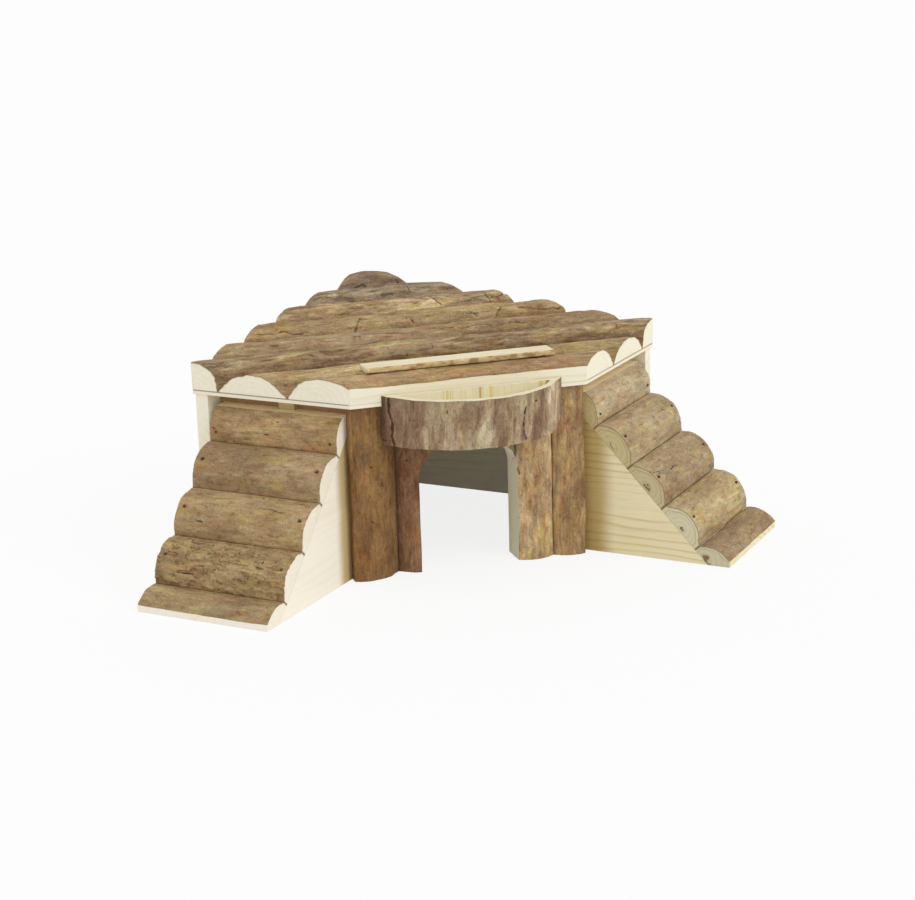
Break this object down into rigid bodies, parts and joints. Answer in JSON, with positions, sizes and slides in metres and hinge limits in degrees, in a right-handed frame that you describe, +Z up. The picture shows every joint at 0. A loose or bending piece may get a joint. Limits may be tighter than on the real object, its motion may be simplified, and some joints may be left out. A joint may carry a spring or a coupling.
{
  "type": "hamster house",
  "caption": "Wooden corner hamster house: bark half-log roof that lifts off, arched doorway, food bowl over it and a log ladder on each side.",
  "frame": {"origin": "on the surface that the house stands on, under the middle of its bounding box", "axes": "+Z up, +X to the viewer's right along the front, -Y out of the doorway"},
  "size_m": [0.3788, 0.2636, 0.137],
  "materials": {
    "bark_logs": "natural bark, matt",
    "trunk_slice": "smooth bark, matt",
    "pine_boards": "planed, unfinished",
    "plywood": "unfinished",
    "plate": "planed, bare",
    "nails": "dull"
  },
  "bodies": {
    "house": {"bowl_nails": "nails", "food_bowl": "trunk_slice", "front_board": "pine_boards", "front_nails": "nails", "front_post_1": "bark_logs", "front_post_2": "bark_logs", "front_post_3": "bark_logs", "front_post_4": "bark_logs", "left_back_wall": "pine_boards", "left_face_board": "pine_boards", "left_ladder_block": "pine_boards", "left_ladder_inner_board": "pine_boards", "left_ladder_nails": "nails", "left_ladder_outer_board": "pine_boards", "left_ladder_rung_1": "bark_logs", "left_ladder_rung_2": "bark_logs", "left_ladder_rung_3": "bark_logs", "left_ladder_rung_4": "bark_logs", "left_ladder_rung_5": "bark_logs", "lintel_log_1": "bark_logs", "lintel_log_2": "bark_logs", "right_back_wall": "pine_boards", "right_face_board": "pine_boards", "right_ladder_block": "pine_boards", "right_ladder_inner_board": "pine_boards", "right_ladder_nails": "nails", "right_ladder_outer_board": "pine_boards", "right_ladder_rung_1": "bark_logs", "right_ladder_rung_2": "bark_logs", "right_ladder_rung_3": "bark_logs", "right_ladder_rung_4": "bark_logs", "right_ladder_rung_5": "bark_logs", "wall_nails": "nails"},
    "roof": {"name_plate": "plate", "roof_cleat_front": "pine_boards", "roof_cleat_left": "pine_boards", "roof_cleat_right": "pine_boards", "roof_log_1": "bark_logs", "roof_log_2": "bark_logs", "roof_log_3": "bark_logs", "roof_log_4": "bark_logs", "roof_log_5": "bark_logs", "roof_log_6": "bark_logs", "roof_log_7": "bark_logs", "roof_log_8": "bark_logs", "roof_nails": "nails", "roof_panel": "plywood"}
  },
  "joints": [
    {"name": "roof_lift", "type": "slide", "parent": "house", "child": "roof", "axis": [0, 0, 1], "range_m": [0, 0.12]}
  ]
}
